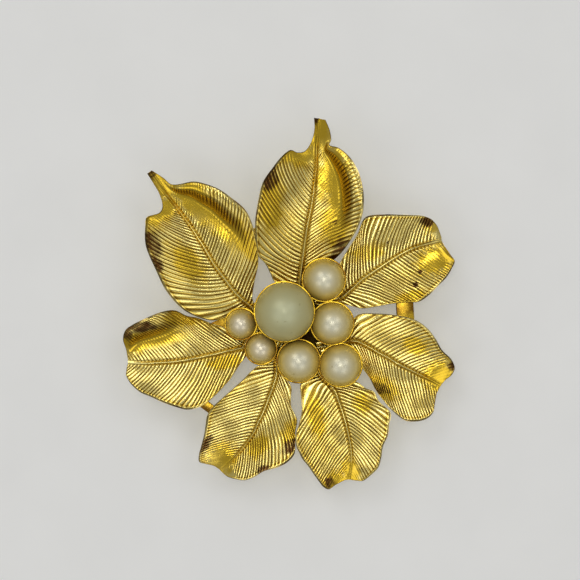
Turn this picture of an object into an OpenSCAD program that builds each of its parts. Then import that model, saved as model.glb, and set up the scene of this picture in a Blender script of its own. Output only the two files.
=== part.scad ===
// Seven-leaf pearl cluster brooch. Lies face up: +X to the right, +Y to the top leaf, +Z towards the viewer.
// The origin is under the middle of the outline, on the surface that the catch rests on.

/* [Leaves] */
// Length of the top left leaf, base to beak tip
top_left_leaf_len = 29.2; // [26:0.2:35.2]
// Length of the top leaf, base to beak tip
top_leaf_len = 29.2; // [26:0.2:35.2]
// Length of the upper right leaf
upper_right_leaf_len = 20; // [17:0.2:24]
// Length of the lower right leaf
lower_right_leaf_len = 19; // [16:0.2:23]
// Length of the bottom leaf
bottom_leaf_len = 18; // [15:0.2:21.6]
// Length of the lower left leaf
lower_left_leaf_len = 20.6; // [17:0.2:25]
// Length of the left leaf
left_leaf_len = 20.6; // [17:0.2:25]
// Thickness of the cast leaf wall
leaf_t = 0.8; // [0.65:0.05:1]
// Height of the midrib above the blade
rib_h = 0.3; // [0:0.05:0.4]
// How far each vein bows back towards the base, as a share of its length
vein_bow = 0.08; // [0:0.01:0.12]
// Share of a blade's half width that stays flat before the rim curls
curl_power = 2.2; // [1.5:0.1:3]

/* [Pearls] */
// Diameter of the centre pearl
big_pearl_d = 9.9; // [8:0.1:9.9]
// Diameter of the four medium pearls
medium_pearl_d = 7; // [5.7:0.1:7]
// Diameter of the two small pearls
small_pearl_d = 5; // [4:0.1:5.2]
// Height of the centre pearl's cup above the plate
big_cup_rise = 1.4; // [1.1:0.1:2]
// Height of the other cups above the plate
cup_rise = 0.4; // [0.3:0.05:0.8]
// Thickness of a cup's wall
cup_t = 0.3; // [0.2:0.05:0.4]
// Radius of the foot that a cup is soldered by
cup_foot_r = 1.2; // [0.9:0.1:1.4]
// Angle from the bottom of a pearl up to its cup's rim
cup_angle = 60; // [40:1:66]
// Radius of the peg in a half-drilled pearl
peg_r = 0.45; // [0.3:0.05:0.6]
// Glue gap between a pearl and its cup and peg
glue_gap = 0.05; // [0.02:0.01:0.1]

/* [Centre plate and struts] */
// Thickness of the centre plate
plate_t = 0.9; // [0.7:0.1:1.2]
// Margin of the plate inside the outline of each pearl
plate_margin = 0.8; // [0.6:0.1:1.4]
// Thickness of the flat struts that tie neighbouring leaves
strut_t = 0.8; // [0.6:0.1:1]

/* [Pin finding] */
// Distance between the hinge rivet and the middle of the catch
pin_span = 29; // [26:0.5:35]
// Offset of the pin line from the middle of the outline
pin_offset = 1; // [0:0.25:1.5]
// Tilt of the pin line, which keeps it behind the leaves
pin_tilt = 25; // [20:1:30]
// Width of the pin bar
bar_w = 3.4; // [3:0.1:4]
// Thickness of the pin bar
bar_t = 0.8; // [0.6:0.1:1]
// Thickness of the base under the hinge and under the catch
base_t = 0.4; // [0.3:0.05:0.5]
// Radius of the pin stem
stem_r = 0.45; // [0.35:0.05:0.5]
// Radius of the stem where it lies in the lock
stem_tip_r = 0.38; // [0.3:0.02:0.4]
// Radius of the hinge rivet
rivet_r = 0.5; // [0.4:0.05:0.6]
// Gap between the rivet and the eye of the stem, on the radius
rivet_gap = 0.05; // [0.02:0.01:0.1]
// Outer radius of the eye of the stem
eye_r = 1.15; // [1:0.05:1.3]
// Width of the eye along the rivet
eye_w = 1.4; // [1:0.1:1.8]
// Thickness of each hinge cheek
cheek_t = 0.6; // [0.5:0.05:0.8]
// Gap between the eye and each cheek
cheek_gap = 0.06; // [0.03:0.01:0.1]
// Inner radius of the lock barrel
barrel_in_r = 0.7; // [0.6:0.05:0.75]
// Wall of the lock barrel
barrel_wall = 0.65; // [0.5:0.05:0.7]
// Gap between the barrel and the catch rings, on the radius
barrel_gap = 0.05; // [0.02:0.01:0.1]
// Wall of the catch rings
ring_wall = 0.5; // [0.4:0.05:0.6]
// Length of each catch ring along the pin
ring_len = 0.9; // [0.7:0.1:1.2]
// Length of the barrel's collar between the rings
collar_len = 1; // [0.8:0.1:1.4]
// Width of the slot in the barrel
slot_w = 1.1; // [1:0.05:1.15]
// Width of the mouth of the catch rings
mouth_w = 1.3; // [1.2:0.05:1.5]
// Length of the thumb tab from the pin line
tab_reach = 3; // [2.8:0.1:3.4]
// Slope of the thumb tab below the pin bar while the lock is open
tab_slope = 25; // [15:1:28]

/* [Smoothness] */
// Facets of round parts
round_fn = 64; // [32:8:96]

/* [Hidden] */
$fn = round_fn;
end_gap = 0.05;
bar_end = 2.2;
ring_in_r = barrel_in_r + barrel_wall + barrel_gap;
ring_out_r = ring_in_r + ring_wall;
pin_z = sqrt(ring_out_r * ring_out_r - mouth_w * mouth_w / 4);
bar_z = pin_z + ring_out_r + base_t;
plate_z = bar_z + bar_t;
seat_z = plate_z + plate_t;
hinge_x = -pin_span / 2;
catch_x = pin_span / 2;
catch_half = ring_len + collar_len / 2 + end_gap;
stem_reach = pin_span + catch_half + 0.6;
neck_len = 2;
straight_end = pin_span - catch_half - 1.5;
gold = [0.83, 0.66, 0.2];
deep_gold = [0.72, 0.55, 0.16];
big_cream = [0.78, 0.77, 0.66];
cream = [0.86, 0.83, 0.7];
pink_cream = [0.87, 0.8, 0.7];

// Pad of the plate under the base of the top left leaf: [x, y, radius]
leaf_pad = [-5, -2.2, 2];

// Pearls: [x, y, diameter]
big_pearl = [-0.8, -1.3, big_pearl_d];
medium_pearls = [[5.9, 4.1, medium_pearl_d], [7.3, -3.3, medium_pearl_d],
                 [8.7, -10.4, medium_pearl_d], [1.6, -9.7, medium_pearl_d]];
small_pearls = [[-4.8, -7.6, small_pearl_d], [-8.2, -3.4, small_pearl_d]];

// Each leaf: base point, heading in degrees, and its vein stations from base to tip.
// A station is [midrib, left rim, right rim]. Each is [along, across, height]: along and
// across in hundredths of the leaf's length, height in millimetres above the seat.
top_left_place = [-6.3, -1.2, 126];
top_left_stations = [
    [[-8, -1.2, 0], [-8, 1.4, 0], [-8, -4, 0]],
    [[-4, -1, 0], [-4, 1.6, 0], [-4, -4, 0]],
    [[1, -0.8, 0], [2, 3.5, 0.1], [1, -3.2, 0]],
    [[5.4, 0, 0.1], [5.6, 9, 0.4], [5, -4, 0.1]],
    [[7.4, 0.6, 0.2], [6.8, 17, 1], [8, -6, 0.15]],
    [[10, 1, 0.3], [11, 24, 1.6], [13, -11, 0.3]],
    [[15, 1.8, 0.5], [23, 31.5, 2.2], [22, -20.5, 0.9]],
    [[25, 2, 0.9], [38, 33.5, 2.5], [36, -28, 2]],
    [[35, 2, 1.2], [53, 31, 2.9], [49, -31.4, 3.6]],
    [[45, 1, 1.4], [67, 27.5, 3.4], [60, -29, 4.6]],
    [[54, 0.4, 1.6], [77, 20.5, 3.4], [68.5, -26, 5]],
    [[60, 0, 1.7], [80, 17, 3], [75.6, -21.4, 5]],
    [[68, 0, 1.9], [78, 10, 2.4], [80.8, -16.5, 4.6]],
    [[76, 0, 2.2], [80.5, 6, 2.4], [84.5, -9, 3.8]],
    [[84, 0.4, 2.7], [87, 3.5, 2.8], [87.5, -5.2, 3.2]],
    [[92, 0.8, 3.6], [94, 2.7, 3.6], [93, -3.8, 3.8]],
    [[100, 0.6, 4.6], [100, 2.2, 4.5], [100, -1, 4.6]]];

top_place = [1.5, 2.4, 84];
top_stations = [
    [[-12, -1, 0], [-12, 2, 0], [-12, -4, 0]],
    [[-4, -1, 0], [-5, 3, 0], [-4, -4.2, 0]],
    [[1, -1, 0], [-1, 8, 0.1], [1, -4.5, 0]],
    [[4, -0.9, 0.1], [3, 14, 0.2], [6, -5.3, 0.1]],
    [[7.6, -0.8, 0.2], [8.5, 17.5, 0.4], [11, -6.6, 0.1]],
    [[12, -0.8, 0.35], [13, 20.5, 0.6], [14.6, -10.5, 0.2]],
    [[15.4, -0.9, 0.5], [17, 25, 0.9], [18.8, -18, 0.7]],
    [[19, -1, 0.65], [21, 27, 1.2], [25, -23.5, 1.6]],
    [[24, -1, 0.8], [29, 28, 1.6], [33, -28, 2.2]],
    [[30, -1.2, 1], [38, 29, 2], [40, -31, 3]],
    [[38, -1.6, 1.2], [50, 28.3, 2.8], [49, -32.7, 4]],
    [[46, -2.4, 1.3], [60, 26.8, 3.4], [59, -32, 4.8]],
    [[54, -3, 1.5], [69, 22, 3.6], [68, -29.3, 5]],
    [[60, -3.2, 1.6], [76, 17.5, 3.3], [75, -25.5, 5]],
    [[65, -3.2, 1.7], [80.3, 13, 3], [80.6, -20.5, 4.8]],
    [[71, -3.2, 1.9], [79.5, 8.7, 2.4], [84.4, -14.6, 4.2]],
    [[78, -2.6, 2.2], [81, 4.2, 2.4], [85.5, -9.6, 3.4]],
    [[85, -2, 2.8], [87, 1.2, 2.8], [89, -10, 3.2]],
    [[92, -1.8, 3.6], [94, 0.3, 3.6], [94, -8.6, 3.8]],
    [[100, -1.6, 4.6], [100, 1.2, 4.5], [99.6, -5.4, 4.6]]];

upper_right_place = [9.2, 1.2, 17];
upper_right_stations = [
    [[-24, 0, 0], [-24, 4, 0], [-24, -4, 0]],
    [[-12, 0, 0], [-12, 4, 0], [-12, -4.5, 0]],
    [[-4, 0, 0], [-3, 5.5, 0], [-4, -5.5, 0]],
    [[0, 0.6, 0.1], [2, 14, 0.1], [4, -9, 0.1]],
    [[5, 2.8, 0.2], [5, 27, 0.3], [12, -14, 0.2]],
    [[10, 5, 0.3], [14, 36, 0.4], [22, -16, 0.4]],
    [[20, 9.5, 0.5], [27, 47.3, 0.5], [38, -17.8, 0.8]],
    [[30, 12.6, 0.7], [38, 59.3, 0.7], [50, -20, 1.2]],
    [[40, 15.7, 0.9], [54, 57, 1.2], [60, -22.8, 1.6]],
    [[50, 18.6, 1], [66, 53, 1.6], [70, -19.8, 1.9]],
    [[60, 21, 1.1], [76, 49.6, 1.7], [80, -14.5, 1.9]],
    [[70, 22.3, 1.1], [84.5, 46.4, 1.6], [89, -9.6, 1.7]],
    [[80, 22.3, 1], [91, 41.5, 1.3], [96, -3.5, 1.3]],
    [[86, 22, 0.9], [94.3, 35, 0.9], [100, 1.5, 0.9]],
    [[91, 21.6, 0.7], [95, 29, 0.6], [98.2, 7.6, 0.6]],
    [[94.6, 21, 0.5], [95.2, 24, 0.5], [96, 15, 0.5]]];

lower_right_place = [10, -5.8, -16];
lower_right_stations = [
    [[-24, -16, 0], [-26, -12, 0], [-22, -20, 0]],
    [[-14, -11, 0], [-15.5, -7, 0], [-12, -15, 0]],
    [[-4, -6, 0], [-5, -1.5, 0], [-2, -11, 0]],
    [[1, -3, 0.1], [-2.5, 9, 0.1], [8, -13, 0.1]],
    [[5, -1.5, 0.2], [3, 22.5, 0.2], [16, -20, 0.2]],
    [[10, -1, 0.3], [18, 28, 0.5], [28, -28.5, 0.3]],
    [[20, -2.5, 0.5], [38, 32, 1], [37, -38, 0.5]],
    [[30, -5, 0.7], [53, 32.3, 1.5], [46, -45, 0.7]],
    [[40, -7, 0.8], [65, 28.5, 1.8], [56, -51.5, 1]],
    [[50, -10, 0.9], [75, 21.5, 1.9], [69, -56.8, 1.3]],
    [[60, -11.8, 0.9], [84, 13, 1.7], [80, -54.8, 1.4]],
    [[70, -13.6, 0.8], [94, 7.5, 1.3], [88, -50, 1.3]],
    [[78, -15, 0.7], [99.5, 1, 0.9], [92, -43, 1]],
    [[84, -16, 0.6], [99, -6, 0.6], [91.3, -34, 0.7]],
    [[88.5, -17, 0.5], [95, -12, 0.5], [90.6, -26, 0.5]],
    [[92.4, -18, 0.4], [93.6, -15, 0.4], [91.6, -21, 0.4]]];

bottom_place = [6.8, -12.6, -78];
bottom_stations = [
    [[-28, -3, 0], [-28, 1.2, 0], [-29, -7.2, 0]],
    [[-17, -6, 0], [-17, -1.6, 0], [-18, -10.4, 0]],
    [[-6, -8.5, 0], [-5, -3, 0], [-9, -14, 0]],
    [[1.4, -5.2, 0.1], [3.4, 4, 0.1], [-5, -21, 0.1]],
    [[5.6, -1.6, 0.2], [6.4, 15, 0.2], [1, -28, 0.2]],
    [[8, 0.6, 0.25], [9.5, 25, 0.3], [12, -29.8, 0.3]],
    [[11, 2, 0.3], [17, 32, 0.35], [25, -31.8, 0.5]],
    [[15, 3.2, 0.35], [22, 39, 0.4], [37, -37, 0.7]],
    [[20, 4, 0.4], [32, 42, 0.6], [47, -42.5, 0.9]],
    [[26, 4.7, 0.45], [44, 50, 0.8], [57, -43.8, 1.1]],
    [[33, 5.6, 0.5], [55, 46.5, 1], [63, -42.4, 1.2]],
    [[41, 6.3, 0.5], [65, 43, 1.1], [70, -40.6, 1.2]],
    [[50, 6.8, 0.5], [74, 36.5, 1.1], [77, -37, 1.2]],
    [[58, 6.8, 0.4], [84, 32.7, 1], [85, -33.7, 1.1]],
    [[66, 6.8, 0.3], [93, 27.8, 0.8], [93, -30.2, 0.9]],
    [[74, 6, 0.2], [99, 19, 0.4], [100, -26.8, 0.6]],
    [[82, 4.6, 0], [102.5, 11.6, 0], [103.6, -22, 0.2]],
    [[91, 1.4, -0.2], [101.4, 5.8, -0.2], [101, -15, -0.1]],
    [[98.8, -1.6, -0.4], [99.8, 1.2, -0.4], [98.7, -6, -0.4]]];

lower_left_place = [-1.9, -10.9, -131];
lower_left_stations = [
    [[-20, -12, 0], [-21, -8.4, 0], [-18.4, -15.4, 0]],
    [[-9, -7.2, 0], [-10.4, -3.8, 0], [-7.6, -10.6, 0]],
    [[-2, -3.6, 0], [-2, 0.5, 0], [-1.5, -8, 0]],
    [[1, -0.6, 0.1], [1.6, 9, 0.1], [4, -9.6, 0.1]],
    [[4, 1.8, 0.2], [5, 19, 0.2], [10, -13.6, 0.2]],
    [[7.5, 4, 0.25], [12, 24.5, 0.3], [17, -15, 0.3]],
    [[11, 5.7, 0.3], [18, 30.5, 0.3], [25, -15.4, 0.5]],
    [[15, 7.3, 0.35], [22, 40, 0.3], [35, -16.6, 0.7]],
    [[20.5, 9.2, 0.4], [31, 46, 0.3], [46, -18, 0.9]],
    [[26, 11.4, 0.45], [38, 52, 0.4], [56, -19.3, 1.1]],
    [[31, 13.2, 0.5], [45, 57, 0.6], [63, -19.4, 1.2]],
    [[37, 15.2, 0.5], [54, 57, 0.9], [69, -18, 1.2]],
    [[44, 17, 0.5], [63, 53.2, 1.1], [75, -14.2, 1.2]],
    [[52, 19.6, 0.5], [72, 47.3, 1.2], [82, -9.8, 1.1]],
    [[60, 21, 0.4], [81, 44.4, 1.1], [90, -5.8, 1]],
    [[68, 21.6, 0.3], [88.5, 40, 0.9], [97, -2.4, 0.7]],
    [[76, 21.8, 0.2], [93, 33.4, 0.6], [101.6, 1.6, 0.4]],
    [[84, 21.6, 0], [95.6, 28, 0.2], [100, 6.4, 0.1]],
    [[91, 21, -0.1], [96, 24, -0.1], [96.6, 13, -0.1]],
    [[96, 20.4, -0.2], [96, 21.6, -0.2], [95.8, 18, -0.2]]];

left_place = [-7.1, -7.3, -173];
left_stations = [
    [[-12, -13.7, 0], [-13.8, -11.2, 0], [-10.6, -16.2, 0]],
    [[-8, -11, 0], [-9.8, -8.4, 0], [-6.4, -13.6, 0]],
    [[-4.2, -8.4, 0], [-6, -5.8, 0], [-2.4, -11, 0]],
    [[1, -4, 0], [1, -0.6, 0], [4, -8.6, 0]],
    [[4, 0, 0.1], [2, 7.4, 0.1], [9, -10.6, 0]],
    [[8, 0.6, 0.2], [8, 13.6, 0.2], [15, -16.4, -0.2]],
    [[12, 1.1, 0.3], [17, 24.4, 0.3], [21, -20, -0.4]],
    [[17, 1.5, 0.4], [25, 31.6, 0.5], [28, -23, -0.4]],
    [[25, 2.6, 0.5], [34, 38.6, 0.8], [38, -28.6, -0.2]],
    [[33, 3.2, 0.6], [44, 44, 1.1], [47, -31.6, 0.2]],
    [[42, 4, 0.7], [55, 45.6, 1.4], [56, -37.2, 0.9]],
    [[50, 4.6, 0.8], [65, 42, 1.6], [65, -37.6, 2.2]],
    [[58, 4.8, 0.8], [75, 37, 1.6], [74, -35.6, 3]],
    [[67, 4.6, 0.8], [84, 31.4, 1.6], [83, -32.8, 3.4]],
    [[75, 4.1, 0.8], [92.5, 26.4, 1.5], [91, -30, 3.4]],
    [[83, 3.6, 0.8], [99, 19.4, 1.2], [98, -26, 3]],
    [[90, 2.8, 0.7], [102.6, 12, 0.9], [101.2, -18.6, 2]],
    [[95, 2, 0.7], [102, 7.2, 0.7], [100, -10, 1.1]],
    [[100, 1, 0.6], [100.8, 3.2, 0.6], [99.8, -2.6, 0.6]]];

// Blade columns from the midrib outwards, as shares of the half width
blade_shares = [0, 0.12, 0.4, 0.72, 1];
steps_per_station = 2;

function at_end(points, i) = points[max(0, min(len(points) - 1, i))];

// Point on a smooth curve through the points, at station i plus share t
function smooth(points, i, t) =
    let (a = at_end(points, i - 1), b = at_end(points, i),
         c = at_end(points, i + 1), d = at_end(points, i + 2))
    (2 * b + (c - a) * t + (2 * a - 5 * b + 4 * c - d) * t * t + (3 * b - a - 3 * c + d) * t * t * t) / 2;

function column(stations, which) = [for (s = stations) s[which]];

// Top surface of a blade: share is -1 at the right rim, 0 on the midrib and 1 at the left rim
function blade_point(mid, rim, share, size) =
    let (a = abs(share),
         reach = norm([rim[0] - mid[0], rim[1] - mid[1]]),
         bend = (mid + rim) / 2 - [vein_bow * reach, 0, 0],
         flat = (1 - a) * (1 - a) * mid + 2 * a * (1 - a) * bend + a * a * rim,
         crest = a == 0 ? rib_h : 0)
    [flat[0] * size / 100, flat[1] * size / 100, mid[2] + (rim[2] - mid[2]) * pow(a, curl_power) + crest];

module leaf(stations, place, size) {
    shares = concat([for (k = [len(blade_shares) - 1 : -1 : 1]) blade_shares[k]],
                    [for (a = blade_shares) -a]);
    mids = column(stations, 0);
    lefts = column(stations, 1);
    rights = column(stations, 2);
    rows = (len(stations) - 1) * steps_per_station + 1;
    wide = len(shares);
    top = [for (r = [0 : rows - 1])
        let (i = floor(r / steps_per_station), t = r / steps_per_station - i,
             mid = smooth(mids, i, t), left = smooth(lefts, i, t), right = smooth(rights, i, t))
        for (share = shares) blade_point(mid, share > 0 ? left : right, share, size)];
    under = [for (r = [0 : rows - 1]) for (k = [0 : wide - 1])
        let (p = top[r * wide + k]) [p[0], p[1], p[2] - (shares[k] == 0 ? rib_h : 0) - leaf_t]];
    n = rows * wide;
    top_faces = [for (r = [0 : rows - 2]) for (k = [0 : wide - 2])
        let (q = r * wide + k) each [[q, q + wide, q + wide + 1], [q, q + wide + 1, q + 1]]];
    under_faces = [for (r = [0 : rows - 2]) for (k = [0 : wide - 2])
        let (q = n + r * wide + k) each [[q, q + wide + 1, q + wide], [q, q + 1, q + wide + 1]]];
    left_faces = [for (r = [0 : rows - 2])
        let (q = r * wide) each [[q, n + q, n + q + wide], [q, n + q + wide, q + wide]]];
    right_faces = [for (r = [0 : rows - 2])
        let (q = r * wide + wide - 1) each [[q, n + q + wide, n + q], [q, q + wide, n + q + wide]]];
    base_faces = [for (k = [0 : wide - 2]) each [[k, k + 1, n + k + 1], [k, n + k + 1, n + k]]];
    tip_faces = [for (k = [0 : wide - 2])
        let (q = n - wide + k) each [[q, n + q + 1, q + 1], [q, n + q, n + q + 1]]];
    color(gold)
        translate([place[0], place[1], seat_z + leaf_t])
            rotate([0, 0, place[2]])
                polyhedron(points = concat(top, under),
                    faces = concat(top_faces, under_faces, left_faces, right_faces, base_faces, tip_faces));
}

// Height of the bottom of a pearl that stands in a cup
function pearl_floor(rise) = seat_z + rise + cup_t + glue_gap;

module pearl(spec, rise, tint) {
    r = spec[2] / 2;
    color(tint)
        translate([spec[0], spec[1], pearl_floor(rise)])
            difference() {
                translate([0, 0, r]) sphere(r = r);
                translate([0, 0, -r]) cylinder(r = peg_r + glue_gap, h = r + spec[2] * 0.4 + glue_gap);
            }
}

// Dished cup with a soldered foot and a glue peg
module cup(spec, rise) {
    r = spec[2] / 2;
    inner = r + glue_gap;
    outer = inner + cup_t;
    color(deep_gold)
        translate([spec[0], spec[1], 0]) {
            difference() {
                union() {
                    translate([0, 0, pearl_floor(rise) + r])
                        rotate_extrude()
                            difference() {
                                circle(r = outer);
                                translate([-2 * outer, -2 * outer]) square([2 * outer, 4 * outer]);
                                translate([0, -outer * cos(cup_angle)]) square(2 * outer);
                            }
                    translate([0, 0, seat_z]) cylinder(r = cup_foot_r, h = rise + cup_t);
                }
                translate([0, 0, pearl_floor(rise) + r]) sphere(r = inner);
            }
            translate([0, 0, seat_z]) cylinder(r = peg_r, h = rise + cup_t + glue_gap + spec[2] * 0.4);
        }
}

module centre_plate() {
    spots = concat([big_pearl], medium_pearls, small_pearls);
    web = [medium_pearls[0], medium_pearls[1], medium_pearls[2], medium_pearls[3],
           small_pearls[0], small_pearls[1], big_pearl];
    color(deep_gold)
        translate([0, 0, plate_z])
            linear_extrude(plate_t) {
                for (s = spots) translate([s[0], s[1]]) circle(r = s[2] / 2 - plate_margin);
                translate([leaf_pad[0], leaf_pad[1]]) circle(r = leaf_pad[2]);
                polygon([for (s = web) [s[0], s[1]]]);
            }
}

module strut(from, to, w, z) {
    way = to - from;
    color(gold)
        translate([from[0], from[1], z])
            rotate([0, 0, atan2(way[1], way[0])])
                translate([0, -w / 2, 0]) cube([norm(way), w, strut_t]);
}

// Point on a leaf's rim in plan, at a station number: which is 1 for the left rim, 2 for the right
function rim_spot(stations, place, size, at, which) =
    let (i = floor(at), p = smooth(column(stations, which), i, at - i) * size / 100,
         c = cos(place[2]), s = sin(place[2]))
    [place[0] + c * p[0] - s * p[1], place[1] + s * p[0] + c * p[1]];

function between(a, b, share) = a + (b - a) * share;

module strut_right() {
    a = rim_spot(upper_right_stations, upper_right_place, upper_right_leaf_len, 6.9, 2);
    b = rim_spot(lower_right_stations, lower_right_place, lower_right_leaf_len, 6.4, 1);
    strut(between(a, b, -0.45), between(a, b, 1.45), 3, seat_z + 0.6);
}

module strut_lower_left() {
    a = rim_spot(left_stations, left_place, left_leaf_len, 8.75, 1);
    b = rim_spot(lower_left_stations, lower_left_place, lower_left_leaf_len, 9.9, 2);
    strut(between(a, b, -0.65), between(a, b, 1.9), 1.6, seat_z + 0.5);
}

module solder_bridge_top() {
    a = rim_spot(top_left_stations, top_left_place, top_left_leaf_len, 7, 2);
    b = rim_spot(top_stations, top_place, top_leaf_len, 8, 1);
    spot = between(a, b, 0.5);
    color(gold) translate([spot[0], spot[1], seat_z + 0.8]) cylinder(r = 1.1, h = 1.3);
}

// Places a piece of the pin finding, drawn along X, on the tilted pin line at the height of the pin
module on_pin_line(along) rotate([0, 0, pin_tilt]) translate([along, pin_offset, pin_z]) children();

module pin_bar() {
    color(deep_gold)
        on_pin_line(hinge_x - bar_end)
            translate([0, -bar_w / 2, bar_z - pin_z])
                cube([pin_span + 2 * bar_end, bar_w, bar_t]);
}

// Two cheeks that hold the rivet, standing down from a base on the bar
module hinge_cheeks() {
    inside = eye_w / 2 + cheek_gap;
    outside = inside + cheek_t;
    half = eye_r - 0.25;
    color(deep_gold)
        on_pin_line(hinge_x)
            difference() {
                union() {
                    for (side = [-1, 1])
                        translate([0, side * (inside + cheek_t / 2), 0]) {
                            rotate([90, 0, 0]) cylinder(r = half, h = cheek_t, center = true);
                            translate([-half, -cheek_t / 2, 0]) cube([2 * half, cheek_t, ring_out_r]);
                        }
                    translate([-half, -outside, ring_out_r]) cube([2 * half, 2 * outside, base_t]);
                }
                rotate([90, 0, 0]) cylinder(r = rivet_r, h = 3 * outside, center = true);
            }
}

module hinge_rivet() {
    half = eye_w / 2 + cheek_gap + cheek_t;
    head = 0.25;
    color(gold)
        on_pin_line(hinge_x)
            rotate([90, 0, 0]) {
                cylinder(r = rivet_r, h = 2 * half, center = true);
                for (side = [0, 1])
                    mirror([0, 0, side]) translate([0, 0, half]) cylinder(r = rivet_r + 0.25, h = head);
            }
}

module pin_stem() {
    color("silver")
        on_pin_line(hinge_x)
            difference() {
                union() {
                    rotate([90, 0, 0]) cylinder(r = eye_r, h = eye_w, center = true);
                    rotate([0, 90, 0]) cylinder(r1 = eye_w / 2, r2 = stem_r, h = neck_len);
                    translate([neck_len, 0, 0])
                        rotate([0, 90, 0]) cylinder(r = stem_r, h = straight_end - neck_len);
                    translate([straight_end, 0, 0])
                        rotate([0, 90, 0]) cylinder(r1 = stem_r, r2 = stem_tip_r, h = 1);
                    translate([straight_end + 1, 0, 0])
                        rotate([0, 90, 0]) cylinder(r = stem_tip_r, h = stem_reach - straight_end - 3);
                    translate([stem_reach - 2, 0, 0])
                        rotate([0, 90, 0]) cylinder(r1 = stem_tip_r, r2 = 0.06, h = 2);
                }
                rotate([90, 0, 0]) cylinder(r = rivet_r + rivet_gap, h = 2 * eye_w, center = true);
            }
}

// Two open rings on one base; their mouths face away from the leaves
module catch_rings() {
    color(deep_gold)
        on_pin_line(catch_x) {
            for (side = [-1, 1])
                translate([side * (collar_len / 2 + end_gap + ring_len / 2), 0, 0])
                    difference() {
                        union() {
                            rotate([0, 90, 0]) cylinder(r = ring_out_r, h = ring_len, center = true);
                            translate([-ring_len / 2, -ring_out_r * 0.7, ring_in_r])
                                cube([ring_len, ring_out_r * 1.4, ring_wall]);
                        }
                        rotate([0, 90, 0]) cylinder(r = ring_in_r, h = 2 * ring_len, center = true);
                        translate([-ring_len, -mouth_w / 2, -2 * ring_out_r])
                            cube([2 * ring_len, mouth_w, 2 * ring_out_r]);
                    }
            translate([-catch_half, -ring_out_r * 0.7, ring_out_r])
                cube([2 * catch_half, ring_out_r * 1.4, base_t]);
        }
}

// Slotted barrel that turns in the rings, with a collar and a thumb tab between them
module lock_barrel() {
    body_r = barrel_in_r + barrel_wall;
    color(gold)
        on_pin_line(catch_x)
            difference() {
                union() {
                    rotate([0, 90, 0]) cylinder(r = body_r, h = 2 * catch_half + 0.3, center = true);
                    rotate([0, 90, 0]) cylinder(r = body_r + 0.3, h = collar_len, center = true);
                    rotate([-tab_slope, 0, 0])
                        translate([-collar_len / 2, body_r - 0.1, -0.35])
                            cube([collar_len, tab_reach - body_r, 0.7]);
                }
                rotate([0, 90, 0]) cylinder(r = barrel_in_r, h = 4 * catch_half, center = true);
                translate([-2 * catch_half, -slot_w / 2, -3 * body_r])
                    cube([4 * catch_half, slot_w, 3 * body_r]);
            }
}

leaf(top_left_stations, top_left_place, top_left_leaf_len);  // leaf_top_left
leaf(top_stations, top_place, top_leaf_len);  // leaf_top
leaf(upper_right_stations, upper_right_place, upper_right_leaf_len);  // leaf_upper_right
leaf(lower_right_stations, lower_right_place, lower_right_leaf_len);  // leaf_lower_right
leaf(bottom_stations, bottom_place, bottom_leaf_len);  // leaf_bottom
leaf(lower_left_stations, lower_left_place, lower_left_leaf_len);  // leaf_lower_left
leaf(left_stations, left_place, left_leaf_len);  // leaf_left
centre_plate();
strut_right();
strut_lower_left();
solder_bridge_top();
cup(big_pearl, big_cup_rise);  // cup_centre
cup(medium_pearls[0], cup_rise);  // cup_upper_right
cup(medium_pearls[1], cup_rise);  // cup_right
cup(medium_pearls[2], cup_rise);  // cup_lower_right
cup(medium_pearls[3], cup_rise);  // cup_bottom
cup(small_pearls[0], cup_rise);  // cup_lower_left
cup(small_pearls[1], cup_rise);  // cup_left
pearl(big_pearl, big_cup_rise, big_cream);  // pearl_centre
pearl(medium_pearls[0], cup_rise, cream);  // pearl_upper_right
pearl(medium_pearls[1], cup_rise, cream);  // pearl_right
pearl(medium_pearls[2], cup_rise, cream);  // pearl_lower_right
pearl(medium_pearls[3], cup_rise, cream);  // pearl_bottom
pearl(small_pearls[0], cup_rise, pink_cream);  // pearl_lower_left
pearl(small_pearls[1], cup_rise, pink_cream);  // pearl_left
pin_bar();
hinge_cheeks();
hinge_rivet();
pin_stem();
catch_rings();
lock_barrel();
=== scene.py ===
import math

import bmesh
import bpy
import numpy as np
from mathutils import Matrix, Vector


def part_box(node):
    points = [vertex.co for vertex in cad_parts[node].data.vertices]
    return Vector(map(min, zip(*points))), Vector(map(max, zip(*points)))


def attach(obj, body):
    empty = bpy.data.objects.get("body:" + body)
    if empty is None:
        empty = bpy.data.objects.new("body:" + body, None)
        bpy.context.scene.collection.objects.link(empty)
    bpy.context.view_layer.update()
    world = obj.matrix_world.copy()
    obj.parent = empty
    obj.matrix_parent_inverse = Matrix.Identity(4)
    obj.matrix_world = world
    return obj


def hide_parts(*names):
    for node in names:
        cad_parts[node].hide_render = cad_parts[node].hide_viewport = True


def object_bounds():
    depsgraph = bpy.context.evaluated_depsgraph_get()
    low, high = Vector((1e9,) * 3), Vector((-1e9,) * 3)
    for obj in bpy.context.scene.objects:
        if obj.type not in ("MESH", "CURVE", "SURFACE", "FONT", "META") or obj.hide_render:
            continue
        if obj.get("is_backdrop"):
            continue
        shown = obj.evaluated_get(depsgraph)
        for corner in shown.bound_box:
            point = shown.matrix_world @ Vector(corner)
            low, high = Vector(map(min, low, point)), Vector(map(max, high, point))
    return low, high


bl_info = {
    "name": "Leaf and pearl brooch",
    "version": (1, 0, 0),
    "blender": (4, 5, 0),
    "location": "View3D > Sidebar > Brooch",
    "description": "Models the engraved leaves, pearls and cups of a brooch round its packed frame",
    "category": "Object",
}

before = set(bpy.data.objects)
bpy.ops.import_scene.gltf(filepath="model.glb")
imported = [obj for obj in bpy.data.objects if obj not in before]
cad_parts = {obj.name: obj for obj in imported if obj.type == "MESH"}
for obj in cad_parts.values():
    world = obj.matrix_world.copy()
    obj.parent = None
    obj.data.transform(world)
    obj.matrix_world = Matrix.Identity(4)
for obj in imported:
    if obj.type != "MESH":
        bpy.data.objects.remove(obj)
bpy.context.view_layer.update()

MM = 0.001
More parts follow.
